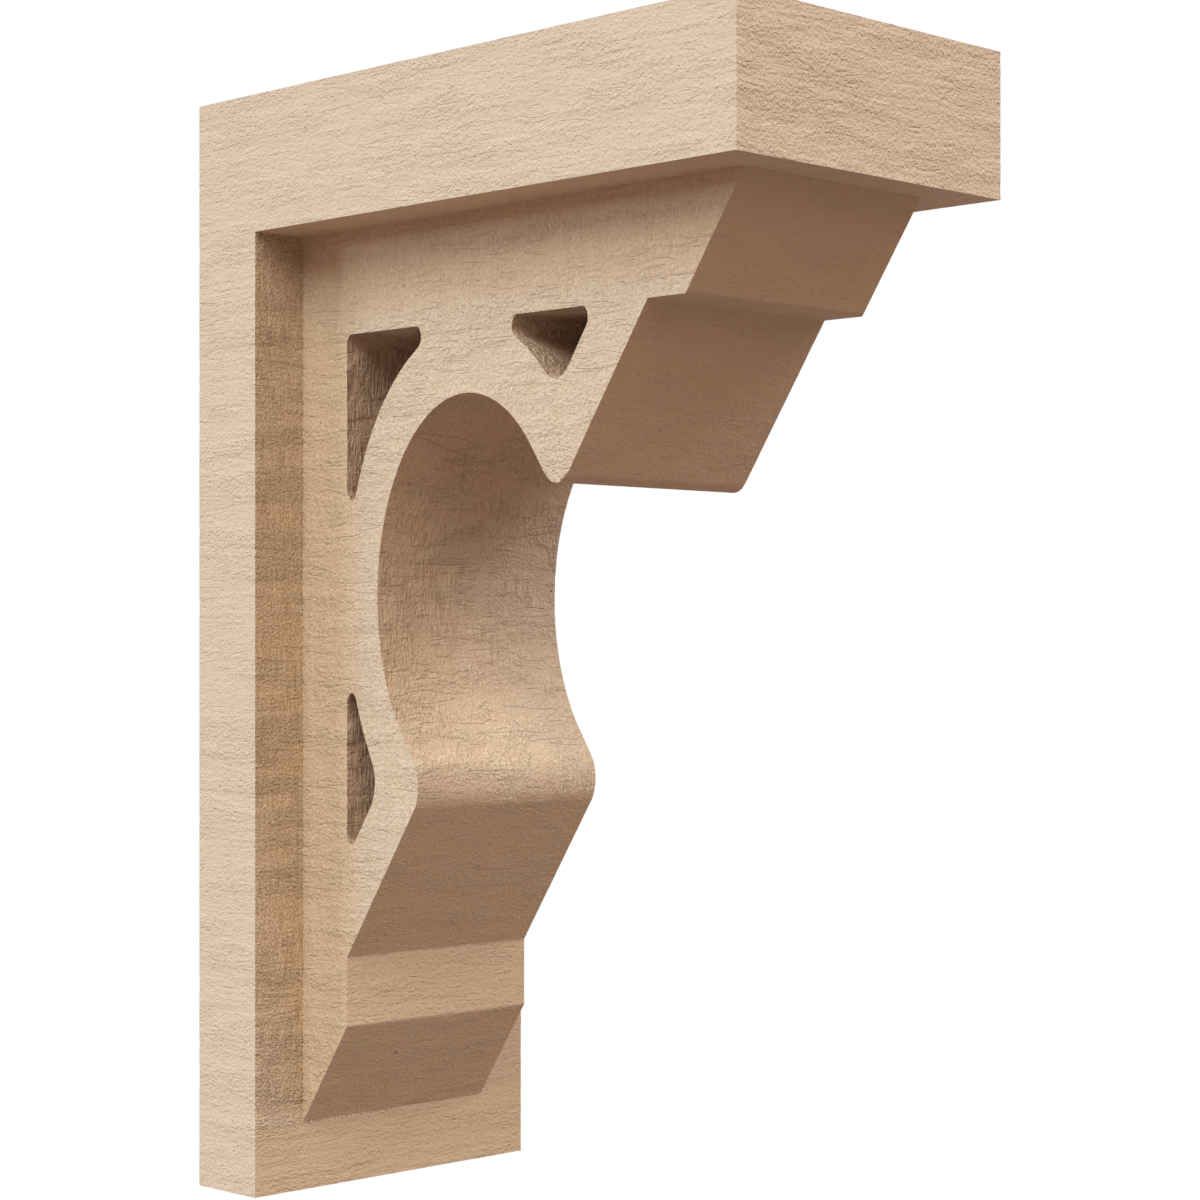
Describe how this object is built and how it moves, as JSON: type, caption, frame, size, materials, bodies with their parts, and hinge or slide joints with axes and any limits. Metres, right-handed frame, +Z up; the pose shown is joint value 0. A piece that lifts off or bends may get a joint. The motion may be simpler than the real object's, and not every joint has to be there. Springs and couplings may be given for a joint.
{
  "type": "corbel",
  "caption": "Rough-sawn timber corbel: an upright wall board and a thick top board joined by a narrower scroll-cut brace with an arched bay and pierced windows.",
  "frame": {"origin": "middle of the flat face that bears on the wall", "axes": "+Z up, +Y out of the corbel into the wall, X across; the corbel stands out from the wall towards -Y"},
  "size_m": [0.1524, 0.3048, 0.4572],
  "materials": {
    "boards": "rough sawn, bare",
    "brace": "rough sawn, bare",
    "screws": "zinc plated"
  },
  "bodies": {
    "root": {"back_board": "boards", "top_board": "boards", "centre_brace": "brace", "back_screws": "screws", "top_screws": "screws", "corner_screws": "screws"}
  },
  "joints": []
}
